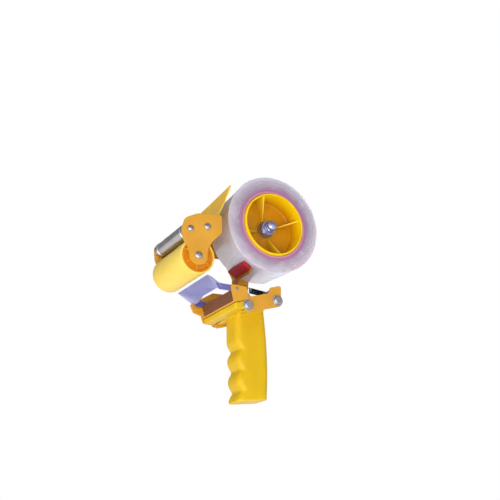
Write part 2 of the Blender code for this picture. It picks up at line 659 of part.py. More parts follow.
def make_adjuster():
    """Screw through the rear wall that sets the brake spring's pull."""
    back = REAR_WALL + 1.9
    screw = [(0, back + 6.0), (1.7, back + 6.0), (1.7, REAR_WALL - 3.5), (0, REAR_WALL - 3.5)]
    paint(turned_x("brake_adjuster", screw, SPRING_Y, ADJUSTER_Z, 16), STEEL, 0.35, 0.9)
    nut = [(3.9, back + GAP + 2.8), (3.9, back + GAP), (2.2, back + GAP), (2.2, back + GAP + 2.8)]
    paint(turned_x("adjuster_nut", nut, SPRING_Y, ADJUSTER_Z, 6), STEEL, 0.35, 0.9)


# ---- grip ---------------------------------------------------------------
def grip_front(z):
    """Front face: hollows between four finger ridges, plain above them."""
    if z > FINGER_TOP:
        return GRIP_FRONT
    ridge = GRIP_FRONT + GRIP_TAPER * (FINGER_TOP - z) / FINGER_TOP
    turn = 2 * math.pi * (FINGER_TOP - z) / FINGER_PITCH
    return ridge + FINGER_DEPTH * (1 - math.cos(turn))


def grip_back(z):
    """Palm side: swells most a little below the middle."""
    return 15.0 + 4.0 * math.sin(math.pi * (z + 25.0) / 130.0)


def grip_outline():
    """Side view of the grip's body, a point about every 2 mm up the front."""
    steps = 45
    low = -5.0                 # below the butt, which is trimmed afterwards
    heights = [low + (GRIP_TOP - low) * i / steps for i in range(steps + 1)]
    front = [(grip_front(z), z) for z in heights]
    back = [(grip_back(z), z) for z in heights]
    return front[::-1] + back[::3]


def make_grip():
    """Moulded grip: rounded body, wide saddle and four blind bolt holes."""
    inset = [(x + GRIP_EDGE if x < 0 else x - GRIP_EDGE, z) for x, z in grip_outline()]
    body = side_plate("grip_body", [inset], -(GRIP_HALF - GRIP_EDGE), GRIP_HALF - GRIP_EDGE)
    body.data.bevel_depth = GRIP_EDGE * MM
    body.data.bevel_resolution = 3
    reach = 60.0               # well beyond the grip on every side
    drop = reach * math.tan(BUTT_TILT)
    under = [(-reach, -reach), (reach, -reach), (reach, drop), (-reach, -drop)]
    over = [base_point(-reach, -2.2), base_point(2 * reach, -2.2),
            base_point(2 * reach, reach), base_point(-reach, reach)]
    trims = [side_plate("trim", [outline], -reach, reach) for outline in (under, over)]
    body = combine("grip_cut", body, trims, "DIFFERENCE")
    saddle_side = rounded([base_point(11.0, -2.3), (*base_point(14.5, -12.2), 3.0),
                           (*base_point(52.0, -12.2), 3.0), base_point(52.5, -2.3)], 4)
    saddle = side_plate("saddle", [saddle_side], -SADDLE_HALF, SADDLE_HALF)
    nose_side = rounded([base_point(0.5, -2.2), (*base_point(0.0, -8.5), 2.0),
                         (*base_point(11.5, -11.0), 1.0), base_point(11.5, -2.2)], 4)
    nose = side_plate("nose", [nose_side], -FRAME_HALF, FRAME_HALF)
    joined = combine("grip_joined", body, [saddle, nose], "UNION")
    holes = []
    for x, z in BOLT_SPOTS:
        for y0, y1 in ((-60.0, -27.0), (27.0, 60.0)):
            holes.append(rod("bolt_hole", 2.6, x, z, y0, y1, 12))
    paint(combine("grip", joined, holes, "DIFFERENCE"), GRIP_YELLOW, 0.45)


def make_grip_bolts():
    """Hex bolts through the walls into the saddle, two on each side."""
    for side, label, face in ((-1, "near", FRAME_HALF), (1, "far", PLATE_OUT)):
        for (x, z), place in zip(BOLT_SPOTS, ("front", "rear")):
            low, high = sorted((side * (face + GAP), side * (face + 3.8)))
            head = hex_prism("bolt_head", 9.8, x, z, low, high)
            low, high = sorted((side * 28.0, side * (face + 2.0)))
            shank = rod("bolt_shank", 2.5, x, z, low, high, 12)
            name = f"grip_bolt_{label}_{place}"
            paint(combine(name, head, [shank], "UNION"), STEEL, 0.35, 0.9)


def main():
    make_side_frame()
    make_head_side_plate()
    make_base_channel()
    make_roller()
    make_guide_roller()
    make_flap()
    make_hub()
    make_roll()
    make_axle()
    make_tension_stack()
    make_blade()
    make_blade_shelf()
    make_brake_pad()
    make_brake_arm()
    make_brake_bracket()
    make_brake_spring()
    make_adjuster()
    make_grip()
    make_grip_bolts()


main()
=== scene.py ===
"""Looks for the hand-held tape gun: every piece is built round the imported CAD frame.

Lengths are in millimetres where a name or a helper says so and are turned into metres by MM.
Frame: -X is the front (roller and blade), -Y the open side of the hub, +Z runs up the grip.
"""

import json
import math
import random

import bmesh
import bpy
from mathutils import Matrix, Vector


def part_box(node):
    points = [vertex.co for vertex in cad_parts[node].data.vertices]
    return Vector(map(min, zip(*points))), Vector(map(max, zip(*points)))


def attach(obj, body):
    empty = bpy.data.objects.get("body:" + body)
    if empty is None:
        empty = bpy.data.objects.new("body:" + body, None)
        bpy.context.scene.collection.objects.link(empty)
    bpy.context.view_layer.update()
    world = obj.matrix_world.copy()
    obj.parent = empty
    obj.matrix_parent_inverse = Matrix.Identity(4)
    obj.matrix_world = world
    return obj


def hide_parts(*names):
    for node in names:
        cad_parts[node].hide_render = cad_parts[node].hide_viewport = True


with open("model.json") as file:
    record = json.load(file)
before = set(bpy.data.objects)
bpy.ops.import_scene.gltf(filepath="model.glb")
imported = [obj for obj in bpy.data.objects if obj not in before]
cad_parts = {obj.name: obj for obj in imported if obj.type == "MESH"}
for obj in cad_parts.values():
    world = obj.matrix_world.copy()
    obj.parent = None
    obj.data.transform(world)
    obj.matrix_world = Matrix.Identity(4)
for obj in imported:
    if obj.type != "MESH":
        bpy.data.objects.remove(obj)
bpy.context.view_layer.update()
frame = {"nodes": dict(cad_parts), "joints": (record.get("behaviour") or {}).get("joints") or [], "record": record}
MM = 0.001
TAU = 2 * math.pi

# ---- camera -------------------------------------------------------------
CAMERA_PLACE = (-0.4407, -0.8548, -0.1506)
CAMERA_TARGET = (0.0110, 0.0105, 0.1782)
CAMERA_ROLL = math.radians(-0.96)
CAMERA_LENS = 64.08
FLOOR_Z = -0.26                 # the gun is held up, well clear of the floor
FLOOR_GLOW = 0.78               # the paper is lit from beneath, like a light table
AMBIENT = 0.34                  # light from all round; the camera sees plain white instead

# ---- what the frame says ------------------------------------------------
RECORD = frame["record"]
BODY_OF = {node: body for body, nodes in RECORD["behaviour"]["bodies"].items() for node in nodes}
SLOT_OF = {row["node"]: row["material_slot"] for row in RECORD["subparts"]}


def axis_of(joint):
    """X and Z, in millimetres, of a joint whose axis runs along Y."""
    place = next(j["pos_m"] for j in frame["joints"] if j["name"] == joint)
    return place[0] / MM, place[2] / MM


def box_mm(node):
    low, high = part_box(node)
    return low / MM, high / MM


HUB = axis_of("hub_spin")
ROLLER = axis_of("roller_spin")
GUIDE = axis_of("guide_roller_spin")
FLAP = axis_of("flap_hinge")
BRAKE = axis_of("brake_hinge")


# ---- node-tree helper ---------------------------------------------------
class Finish:
    """A Principled material, with short calls that add texture nodes to it."""

    def __init__(self, name, **constants):
        self.material = bpy.data.materials.new(name)
        self.material.use_nodes = True
        self.tree = self.material.node_tree
        self.shader = self.tree.nodes["Principled BSDF"]
        for socket, value in constants.items():
            self.shader.inputs[socket.replace("_", " ")].default_value = value
        self.coords = self.tree.nodes.new("ShaderNodeTexCoord").outputs["Object"]

    def node(self, kind, settings=None, **inputs):
        made = self.tree.nodes.new(kind)
        for key, value in (settings or {}).items():
            setattr(made, key, value)
        for key, value in inputs.items():
            self.feed(made.inputs[key.replace("_", " ")], value)
        return made

    def feed(self, socket, value):
        if isinstance(value, bpy.types.NodeSocket):
            self.tree.links.new(value, socket)
        else:
            socket.default_value = value

    def set(self, **inputs):
        for key, value in inputs.items():
            self.feed(self.shader.inputs[key.replace("_", " ")], value)

    def noise(self, scale, detail=3.0, roughness=0.55, distortion=0.0, coords=None):
        made = self.node("ShaderNodeTexNoise", Vector=coords or self.coords, Scale=scale, Detail=detail,
                         Roughness=roughness, Distortion=distortion)
        return made.outputs["Fac"]

    def stretched(self, x, y, z):
        """Object coordinates scaled by axis, for streaks and brushing."""
        made = self.node("ShaderNodeVectorMath", {"operation": "MULTIPLY"})
        self.feed(made.inputs[0], self.coords)
        self.feed(made.inputs[1], (x, y, z))
        return made.outputs["Vector"]

    def separate(self):
        return self.node("ShaderNodeSeparateXYZ", Vector=self.coords).outputs

    def math(self, operation, a, b=0.0, c=0.0):
        made = self.node("ShaderNodeMath", {"operation": operation})
        for socket, value in zip(made.inputs, (a, b, c)):
            self.feed(socket, value)
        return made.outputs["Value"]

    def ramp(self, factor, *stops):
        """Colour ramp; each stop is (place, colour) or (place, grey)."""
        made = self.node("ShaderNodeValToRGB", Fac=factor)
        elements = made.color_ramp.elements
        while len(elements) < len(stops):
            elements.new(0.5)
        for element, (place, value) in zip(elements, stops):
            element.position = place
            colour = (value,) * 3 if isinstance(value, (int, float)) else value
            element.color = (*colour, 1.0)
        return made.outputs["Color"]

    def span(self, value, low, high, to_low=0.0, to_high=1.0):
        made = self.node("ShaderNodeMapRange", Value=value, From_Min=low, From_Max=high,
                         To_Min=to_low, To_Max=to_high)
        return made.outputs["Result"]

    def mix(self, factor, a, b, blend="MIX"):
        made = self.node("ShaderNodeMix", {"data_type": "RGBA", "blend_type": blend})
        self.feed(made.inputs["Factor"], factor)
        colours = [s for s in made.inputs if s.type == "RGBA"]
        for socket, value in zip(colours, (a, b)):
            self.feed(socket, (*value, 1.0) if isinstance(value, tuple) else value)
        return next(s for s in made.outputs if s.type == "RGBA")

    def rings(self, radius, per_metre, detail, roughness):
        """Noise that changes only with the distance from an axis."""
        place = self.node("ShaderNodeCombineXYZ", X=self.math("MULTIPLY", radius, per_metre))
        return self.noise(1.0, detail, roughness, 0.0, place.outputs[0])

    def radial(self, centre):
        """Distance in metres from an axis along Y."""
        x, _, z = self.separate()
        dx = self.math("SUBTRACT", x, centre[0] * MM)
        dz = self.math("SUBTRACT", z, centre[1] * MM)
        square = self.math("ADD", self.math("MULTIPLY", dx, dx), self.math("MULTIPLY", dz, dz))
        return self.math("SQRT", square)

    def edges(self, low=0.53, high=0.62):
        """1 on convex edges and 0 elsewhere."""
        pointy = self.node("ShaderNodeNewGeometry").outputs["Pointiness"]
        return self.span(pointy, low, high)

    def crevices(self, low=0.40, high=0.48):
        """1 in concave corners and 0 elsewhere."""
        pointy = self.node("ShaderNodeNewGeometry").outputs["Pointiness"]
        return self.span(pointy, low, high, 1.0, 0.0)

    def bump(self, height, depth_mm, strength=1.0, under=None):
        made = self.node("ShaderNodeBump", Height=height, Distance=depth_mm * MM, Strength=strength)
        if under is not None:
            self.feed(made.inputs["Normal"], under)
        return made.outputs["Normal"]


# ---- materials ----------------------------------------------------------
def enamel(name, deep, light, bare=(0.62, 0.60, 0.58), coat=0.3, rough=(0.34, 0.46)):
    """Baked enamel on sheet steel: slight mottling, orange peel, rubbed edges."""
    m = Finish(name, Coat_Weight=coat, Coat_Roughness=0.22, Specular_IOR_Level=0.4)
    cloud = m.noise(22, 5, 0.6)
    base = m.ramp(cloud, (0.30, deep), (0.72, light))
    speck = m.span(m.noise(1300, 2), 0.62, 0.78)
    base = m.mix(m.math("MULTIPLY", speck, 0.18), base, light)
    # darker in concave corners, in patches
    corner_darkening = m.math("MULTIPLY", m.crevices(), m.span(m.noise(70, 4), 0.35, 0.7))
    base = m.mix(m.math("MULTIPLY", corner_darkening, 0.35), base, tuple(0.35 * c for c in deep))
    rubbed = m.math("MULTIPLY", m.edges(0.56, 0.66), m.span(m.noise(160, 5, 0.7), 0.52, 0.60))
    base = m.mix(m.math("MULTIPLY", rubbed, 0.55), base, bare)
    peel = m.bump(m.noise(520, 2, 0.5), 0.05, 0.35)
    scratch = m.noise(260, 3, 0.6, 0.4, m.stretched(0.2, 1.0, 2.6))
    m.set(Base_Color=base, Metallic=m.math("MULTIPLY", rubbed, 0.5),
          Roughness=m.span(m.noise(48, 4), 0.3, 0.7, *rough),
          Normal=m.bump(scratch, 0.02, 0.25, peel))
    return m


def plastic(name, deep, light, rough=(0.34, 0.48), grain=700, grain_mm=0.05, scatter=0.10,
            seam=False, rim=None, recess=None):
    """Moulded plastic: soft cloudiness, fine texture, rubbed patches in the gloss, painted highlight along convex
    edges, parting line.

    recess (lip, floor, inside, behind) gives Y in metres: painted shade, the colour deepens to dark orange from
    lip to floor, as where a cup's inside lies in shade, and is itself again on the far side of the floor, from
    inside to behind.
    """
    m = Finish(name, Subsurface_Weight=scatter, Subsurface_Scale=0.004, Specular_IOR_Level=0.3)
    cloud = m.noise(16, 4, 0.55, 0.3)
    base = m.ramp(cloud, (0.28, deep), (0.74, light))
    flow = m.noise(30, 3, 0.5, 0.8, m.stretched(1.0, 1.0, 0.25))
    base = m.mix(m.span(flow, 0.45, 0.75, 0.0, 0.22), base, light)
    # darker in concave corners, in patches
    crease_darkening = m.math("MULTIPLY", m.crevices(0.38, 0.48), m.span(m.noise(55, 4), 0.3, 0.7))
    base = m.mix(m.math("MULTIPLY", crease_darkening, 0.30), base, tuple(0.45 * c for c in deep))
    # painted shade: the inside of the cup turns dark orange towards its floor, as where it lies in shade
    if recess:
        lip, floor, inside, behind = recess
        y = m.separate()[1]
        painted_recess_shade = m.math("MULTIPLY", m.span(y, lip, floor, 0.0, 0.75), m.span(y, inside, behind, 1.0, 0.0))
        base = m.mix(painted_recess_shade, base, (0.52, 0.17, 0.001))
    # painted highlight: convex edges turn paler, as where the light catches the rims of the moulding
    if rim:
        base = m.mix(m.math("MULTIPLY", m.edges(0.52, 0.60), 0.5), base, rim)
    texture = m.bump(m.noise(grain, 2, 0.6), grain_mm, 0.5)
    if seam:
        across = m.math("ABSOLUTE", m.separate()[1])
        ridge = m.span(across, 0.0001, 0.0005, 1.0, 0.0)
        texture = m.bump(ridge, 0.22, 0.8, texture)
    rubs = m.noise(120, 4, 0.6, 0.5, m.stretched(1.0, 2.0, 0.5))
    m.set(Base_Color=base, Roughness=m.span(rubs, 0.3, 0.7, *rough), Normal=texture)
    return m


def metal(name, dark, light, rough=(0.24, 0.42), brush=(1.0, 1.0, 1.0), stain=None):
    """Plated or bare metal: brushing, small pits and faint stains."""
    m = Finish(name, Metallic=1.0, Anisotropic=0.2)
    streak = m.noise(420, 4, 0.65, 0.1, m.stretched(*brush))
    base = m.ramp(streak, (0.25, dark), (0.75, light))
    cloud = m.span(m.noise(60, 4, 0.6), 0.42, 0.75)
    base = m.mix(m.math("MULTIPLY", cloud, 0.4), base, stain or dark)
    # darker in concave corners
    corner_darkening = m.crevices(0.36, 0.47)
    base = m.mix(m.math("MULTIPLY", corner_darkening, 0.5), base, (0.09, 0.08, 0.08))
    fine = m.bump(streak, 0.02, 0.35)
    pits = m.span(m.noise(1500, 2), 0.30, 0.40)
    m.set(Base_Color=base, Roughness=m.span(m.noise(140, 4), 0.3, 0.7, *rough),
          Normal=m.bump(pits, 0.015, 0.3, fine))
    return m


def film():
    """Clear tape wound in many layers: milky, lavender in the depth, glossy."""
    m = Finish("wound_film", Subsurface_Weight=0.35, Subsurface_Scale=0.012, Coat_Weight=0.6,
               Coat_Roughness=0.12, Specular_IOR_Level=0.55)
    radius = m.radial(HUB)
    layers = m.rings(radius, 1400.0, 4, 0.7)
    depth = m.span(radius, 0.043, 0.0575)
    wide = m.ramp(depth, (0.0, (0.28, 0.17, 0.27)), (0.20, (0.35, 0.24, 0.34)),
                  (0.60, (0.48, 0.40, 0.48)), (1.0, (0.64, 0.62, 0.73)))
    base = m.mix(m.span(layers, 0.35, 0.65, 0.0, 0.30), wide, (0.40, 0.36, 0.46))
    trapped = m.noise(38, 5, 0.62, 0.6, m.stretched(1.0, 0.45, 1.0))
    base = m.mix(m.span(trapped, 0.42, 0.80, 0.0, 0.40), base, (0.74, 0.74, 0.82))
    ridges = m.bump(layers, 0.08, 0.5)
    m.set(Base_Color=base, Roughness=m.span(trapped, 0.35, 0.7, 0.16, 0.34),
          Normal=m.bump(trapped, 0.10, 0.25, ridges))
    return m


def core_board():
    """Spiral-wound paperboard: pale inner ply, magenta-purple body."""
    m = Finish("core_board", Specular_IOR_Level=0.3)
    radius = m.radial(HUB)
    fibres = m.noise(900, 4, 0.7)
    ply = m.rings(radius, 2200.0, 3, 0.6)
    bands = m.ramp(m.span(radius, 0.0378, 0.0433), (0.0, (0.62, 0.36, 0.38)), (0.25, (0.58, 0.26, 0.36)),
                   (0.5, (0.40, 0.15, 0.30)), (0.8, (0.36, 0.16, 0.34)), (1.0, (0.46, 0.28, 0.44)))
    base = m.mix(m.span(ply, 0.4, 0.65, 0.0, 0.35), bands, (0.30, 0.10, 0.22))
    base = m.mix(m.span(fibres, 0.5, 0.8, 0.0, 0.25), base, (0.66, 0.46, 0.56))
    m.set(Base_Color=base, Roughness=m.span(fibres, 0.3, 0.7, 0.6, 0.85), Normal=m.bump(fibres, 0.08, 0.5))
    return m


def rubber(name, deep, light):
    """Dense rubber: matt, grained, paler along its edges."""
    m = Finish(name, Specular_IOR_Level=0.35)
    base = m.ramp(m.noise(90, 5, 0.6), (0.3, deep), (0.7, light))
    worn = tuple(min(1.0, 1.8 * c + 0.03) for c in light)
    base = m.mix(m.math("MULTIPLY", m.edges(0.53, 0.6), 0.4), base, worn)
    grain = m.noise(850, 3, 0.6)
    m.set(Base_Color=base, Roughness=m.span(grain, 0.3, 0.7, 0.5, 0.72), Normal=m.bump(grain, 0.06, 0.6))
    return m


def fibre():
    """Pressed fibre: dark, matt and full of short strands."""
    m = Finish("pressed_fibre", Specular_IOR_Level=0.25)
    strands = m.noise(700, 5, 0.7, 1.2)
    base = m.ramp(strands, (0.3, (0.12, 0.06, 0.03)), (0.7, (0.30, 0.18, 0.10)))
    m.set(Base_Color=base, Roughness=0.85, Normal=m.bump(strands, 0.08, 0.7))
    return m


def blued():
    """Blued spring steel: violet blue with paler clouds, cross-ground."""
    m = Finish("blued_steel", Metallic=0.6, Anisotropic=0.25, Specular_IOR_Level=0.4)
    cloud = m.noise(34, 4, 0.6, 0.5)
    base = m.ramp(cloud, (0.25, (0.07, 0.06, 0.28)), (0.5, (0.12, 0.11, 0.38)), (0.75, (0.21, 0.20, 0.52)))
    grind = m.noise(300, 3, 0.7, 0.0, m.stretched(6.0, 0.3, 6.0))
    base = m.mix(m.span(grind, 0.45, 0.75, 0.0, 0.2), base, (0.34, 0.34, 0.62))
    base = m.mix(m.math("MULTIPLY", m.edges(0.55, 0.65), 0.5), base, (0.66, 0.66, 0.76))
    m.set(Base_Color=base, Roughness=m.span(cloud, 0.3, 0.7, 0.26, 0.40), Normal=m.bump(grind, 0.02, 0.4))
    return m


FINISHES = {
    "frame_paint": enamel("frame_enamel", (0.57, 0.255, 0.013), (0.68, 0.335, 0.028), coat=0.10),
    # Dark brown enamel on the blade shelf is painted shade: a dark sheet across the front of the base, where it
    # lies in shadow under the blade.
    "bronze_paint": enamel("shelf_shade_enamel", (0.11, 0.026, 0.002), (0.20, 0.052, 0.005),
                           bare=(0.42, 0.28, 0.18), coat=0.1),
    # the rim colours below are painted highlights along convex edges
    "grip_plastic": plastic("grip_plastic", (0.60, 0.36, 0.0003), (0.72, 0.465, 0.0008),
                            rough=(0.40, 0.55), grain=620, grain_mm=0.06, scatter=0.05, seam=True,
                            rim=(0.95, 0.70, 0.03)),
    "cap_plastic": plastic("cap_plastic", (0.60, 0.17, 0.002), (0.76, 0.27, 0.005),
                           rough=(0.28, 0.42), grain=900, grain_mm=0.03, scatter=0.08,
                           rim=(0.90, 0.42, 0.03)),
    "sleeve_rubber": plastic("sleeve_plastic", (0.72, 0.49, 0.060), (0.83, 0.62, 0.115),
                             rough=(0.36, 0.52), grain=800, grain_mm=0.05, scatter=0.12),
    # the hub's recess span paints shade deep in its cup
    "hub_plastic": plastic("hub_plastic", (0.80, 0.46, 0.001), (0.97, 0.70, 0.003),
                           rough=(0.28, 0.42), grain=900, grain_mm=0.03, scatter=0.08,
                           rim=(0.98, 0.80, 0.10), recess=(-0.022, -0.002, 0.001, 0.0024)),
    "steel": metal("plated_steel", (0.34, 0.34, 0.37), (0.58, 0.57, 0.60)),
    "zinc": metal("bright_zinc", (0.30, 0.34, 0.56), (0.50, 0.54, 0.82), rough=(0.30, 0.44),
                  stain=(0.40, 0.40, 0.62)),
    "blued_steel": blued(),
    "brake_red": rubber("brake_rubber", (0.24, 0.006, 0.010), (0.42, 0.014, 0.022)),
    "spring_black": metal("black_oxide", (0.012, 0.012, 0.020), (0.05, 0.05, 0.07), rough=(0.3, 0.45)),
    "fibre": fibre(),
    "tape_film": film(),
    "core_board": core_board(),
}
ROLLER_STEEL = metal("roller_steel", (0.36, 0.33, 0.34), (0.62, 0.59, 0.61), rough=(0.24, 0.38),
                     brush=(3.0, 0.15, 3.0))
# Darker, browner copy of the frame enamel for the brake arm: painted shade, as the arm sits in shade under the
# roll.
ARM_SHADE_PAINT = enamel("arm_shade_enamel", (0.30, 0.09, 0.003), (0.42, 0.15, 0.008), bare=(0.42, 0.32, 0.24),
                   coat=0.0, rough=(0.5, 0.65))
FLAP_PAINT = enamel("flap_enamel", (0.78, 0.43, 0.015), (0.92, 0.57, 0.030), coat=0.0,
                    rough=(0.45, 0.6))


# ---- outline helpers (millimetres) --------------------------------------
def arc(cx, cz, radius, start, end, steps):
    turn = [math.radians(start + (end - start) * i / steps) for i in range(steps + 1)]
    return [(cx + radius * math.cos(a), cz + radius * math.sin(a)) for a in turn]


def circle(cx, cz, radius, steps=40):
    return arc(cx, cz, radius, 0, 360 * (steps - 1) / steps, steps - 1)


def rounded(corners, steps=6):
    """Closed outline: (a, b, radius) becomes a fillet, (a, b) stays sharp."""
    points = []
    for i, corner in enumerate(corners):
        here = Vector(corner[:2])
        if len(corner) == 2:
            points.append(tuple(here))
            continue
        before = (Vector(corners[i - 1][:2]) - here).normalized()
        after = (Vector(corners[(i + 1) % len(corners)][:2]) - here).normalized()
        run = corner[2] / math.tan(before.angle(after) / 2)
        for j in range(steps + 1):
            t = j / steps
            points.append(tuple(here + before * run * (1 - t) ** 2 + after * run * t ** 2))
    return points


# ---- mesh helpers -------------------------------------------------------
LAST_TURN = 1.0 - 0.0006        # a spiral's last column, just short of the first
WELD = 2e-6
FLAT = math.radians(0.4)        # faces nearer than this to one plane are joined


def new_object(name, mesh):
    made = bpy.data.objects.new(name, mesh)
    bpy.context.scene.collection.objects.link(made)
    return made


def smooth(mesh, degrees=32):
    mesh.shade_smooth()
    mesh.set_sharp_from_angle(angle=math.radians(degrees))


def from_bmesh(name, shape, degrees=32):
    bmesh.ops.recalc_face_normals(shape, faces=shape.faces)
    mesh = bpy.data.meshes.new(name)
    shape.to_mesh(mesh)
    shape.free()
    smooth(mesh, degrees)
    return new_object(name, mesh)


def lathe(name, profile, centre, steps=96, along="Y", spiral=(0.0, 0.0)):
    """Closed (radius, height) profile turned about an axis through centre.

    centre is (x, z) for an axis along Y, and (y, z) for one along X.
    spiral (from_radius, step) lets the outer rows sink by step in one turn.
    """
    shape = bmesh.new()
    columns = []
    for radius, height in profile:
        count = 1 if radius == 0 else steps
        column = []
        for i in range(count):
            turn = i / count if i < count - 1 or not spiral[1] else LAST_TURN
            angle = TAU * turn
            reach = radius - spiral[1] * turn if radius > spiral[0] else radius
            a, b = centre[0] + reach * math.cos(angle), centre[1] + reach * math.sin(angle)
            place = (a, height, b) if along == "Y" else (height, a, b)
            column.append(shape.verts.new(Vector(place) * MM))
        columns.append(column)
    for one, two in zip(columns, columns[1:] + columns[:1]):
        if len(one) == len(two) == 1:
            continue
        for i in range(steps):
            j = i + 1
            corners = [one[i % len(one)], two[i % len(two)], two[j % len(two)], one[j % len(one)]]
            shape.faces.new(list(dict.fromkeys(corners)))
    return from_bmesh(name, shape)


def to_mesh(obj):
    """The evaluated object as a plain mesh at the origin; the source goes."""
    bpy.context.view_layer.update()
    graph = bpy.context.evaluated_depsgraph_get()
    mesh = bpy.data.meshes.new_from_object(obj.evaluated_get(graph))
    mesh.transform(obj.matrix_world)
    name = obj.name
    bpy.data.objects.remove(obj, do_unlink=True)
    mesh.name = name
    return new_object(name, mesh)


def cleaned(obj, degrees=32):
    """Weld and dissolve flat faces, so that a Bevel finds clean edges."""
    shape = bmesh.new()
    shape.from_mesh(obj.data)
    bmesh.ops.remove_doubles(shape, verts=shape.verts, dist=WELD)
    bmesh.ops.dissolve_limit(shape, angle_limit=FLAT, verts=shape.verts, edges=shape.edges)
    bmesh.ops.recalc_face_normals(shape, faces=shape.faces)
    shape.to_mesh(obj.data)
    shape.free()
    smooth(obj.data, degrees)
    return obj


def eased(obj, width_mm, segments=3, degrees=40):
    """Round every sharp edge with a Bevel."""
    bevel = obj.modifiers.new("eased", "BEVEL")
    bevel.width = width_mm * MM
    bevel.segments = segments
    bevel.limit_method = "ANGLE"
    bevel.angle_limit = math.radians(degrees)
    bevel.harden_normals = True
    bevel.use_clamp_overlap = True
    return obj


def plate(name, outlines, low, high, across="Y"):
    """Flat plate: first outline less the others, drawn in X-Z or in Y-Z."""
    curve = bpy.data.curves.new(name, "CURVE")
    curve.dimensions = "2D"
    curve.fill_mode = "BOTH"
    curve.extrude = abs(high - low) / 2 * MM
    for outline in outlines:
        line = curve.splines.new("POLY")
        line.points.add(len(outline) - 1)
        for point, (a, b) in zip(line.points, outline):
            point.co = (a * MM, b * MM, 0.0, 1.0)
        line.use_cyclic_u = True
    obj = new_object(name, curve)
    middle = (low + high) / 2 * MM
    if across == "Y":
        obj.rotation_euler = (math.pi / 2, 0.0, 0.0)
        obj.location = (0.0, middle, 0.0)
    else:
        obj.rotation_euler = (math.pi / 2, 0.0, math.pi / 2)
        obj.location = (middle, 0.0, 0.0)
    return cleaned(to_mesh(obj))


def wire(name, points, radius_mm, sides=5):
    """Round wire through a list of points in millimetres."""
    curve = bpy.data.curves.new(name, "CURVE")
    curve.dimensions = "3D"
    curve.bevel_depth = radius_mm * MM
    curve.bevel_resolution = sides
    curve.use_fill_caps = True
    line = curve.splines.new("POLY")
    line.points.add(len(points) - 1)
    for point, place in zip(line.points, points):
        point.co = (*(Vector(place) * MM), 1.0)
    obj = to_mesh(new_object(name, curve))
    cleaned(obj, 50)
    return obj


def cut(obj, tool, operation="DIFFERENCE"):
    """Boolean one plain mesh with another, which then goes."""
    step = obj.modifiers.new("cut", "BOOLEAN")
    step.operation = operation
    step.object = tool
    result = to_mesh(obj)
    bpy.data.objects.remove(tool, do_unlink=True)
    return cleaned(result)


def show(piece, *nodes, finish=None):
    """Give a piece the finish and the body of the CAD node that it stands for."""
    first = nodes[0]
    named = SLOT_OF[first]
    piece.data.materials.clear()
    piece.data.materials.append((finish or FINISHES[named]).material)
    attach(piece, BODY_OF[first])
    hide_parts(*nodes)
    return piece


def detail(piece, body, slot, finish=None):
    """A small extra piece that stands for no CAD node."""
    piece.data.materials.clear()
    piece.data.materials.append((finish or FINISHES[slot]).material)
    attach(piece, body)
    return piece


def refined(node, width_mm=0.4, segments=3, finish=None):
    """A copy of a CAD node with clean faces and rounded edges."""
    source = frame["nodes"][node]
    copy = new_object(node + "_part", source.data.copy())
    cleaned(copy)
    eased(copy, width_mm, segments)
    return show(copy, node, finish=finish)


# ---- sheet-metal parts --------------------------------------------------
def make_sheet_parts():
    """Copies of the CAD sheets, with edges rounded as pressed sheet has them."""
    for node, width_mm in (("side_frame", 0.45), ("head_side_plate", 0.45), ("base_channel", 0.40)):
        refined(node, width_mm)
    # the brake arm takes the darker copy of the frame enamel, which is painted shade
    refined("brake_arm", 0.35, finish=ARM_SHADE_PAINT)
    refined("brake_bracket", 0.30)
    # the blade shelf's dark brown enamel is painted shade
    refined("blade_shelf", 0.35)


# ---- head ---------------------------------------------------------------
def rivet(node, centre):
    """Two domed rivet heads, joined by the pin between."""
    low, high = box_mm(node)
    head = (high.x - low.x) / 2
    shank, height, under, steps = head * 0.72, 2.0, 0.02, 8
    dome = []
    for i in range(steps + 1):
        a = math.pi / 2 * i / steps
        dome.append((head * math.sin(a), height * math.cos(a)))
    far = [(r, high.y - height + h) for r, h in dome]
    near = [(r, low.y + height - h) for r, h in reversed(dome)]
    far[0], near[-1] = (0, high.y), (0, low.y)
    pin = [(shank, high.y - height - under), (shank, low.y + height + under)]
    show(lathe(node + "_rivet", far + pin + near, centre, 48), node)


def make_roller():
    """Sleeve over the full width, with a dished and ribbed cap in each end."""
    low, high = box_mm("roller_sleeve")
    radius, bore = (high.x - low.x) / 2, 17.6
    sleeve = [(radius, high.y, 0.8), (radius, low.y, 0.8), (bore, low.y, 0.4), (bore, high.y, 0.4)]
    show(lathe("roller_cover", rounded(sleeve, 4), ROLLER, 128), "roller_sleeve")
    pin_bore, boss, boss_back = 3.05, 7.0, 6.5
    for node in ("roller_cap_near", "roller_cap_far"):
        low, high = box_mm(node)
        side = -1 if high.y < 0 else 1
        out, plug = max(abs(low.y), abs(high.y)), min(abs(low.y), abs(high.y))
        skirt = (high.x - low.x) / 2
        wall, lip, dish, web = skirt - 2.0, out - 0.3, out - 2.7, out - 4.7
        ring = [(skirt, lip, 0.5), (skirt, plug, 0.3), (wall, plug, 0.3), (wall, web, 0.5),
                (boss_back, web, 0.5), (boss_back, plug, 0.3), (pin_bore, plug), (pin_bore, out, 0.3),
                (boss, out, 0.6), (boss, dish, 0.6), (wall, dish, 0.8), (skirt - 1.2, lip, 0.4)]
        profile = [(r, side * y) for r, y in rounded(ring, 4)]
        show(lathe(node + "_moulding", profile, ROLLER, 128), node)
        make_cap_ribs(node, side, out, skirt - 1.8)


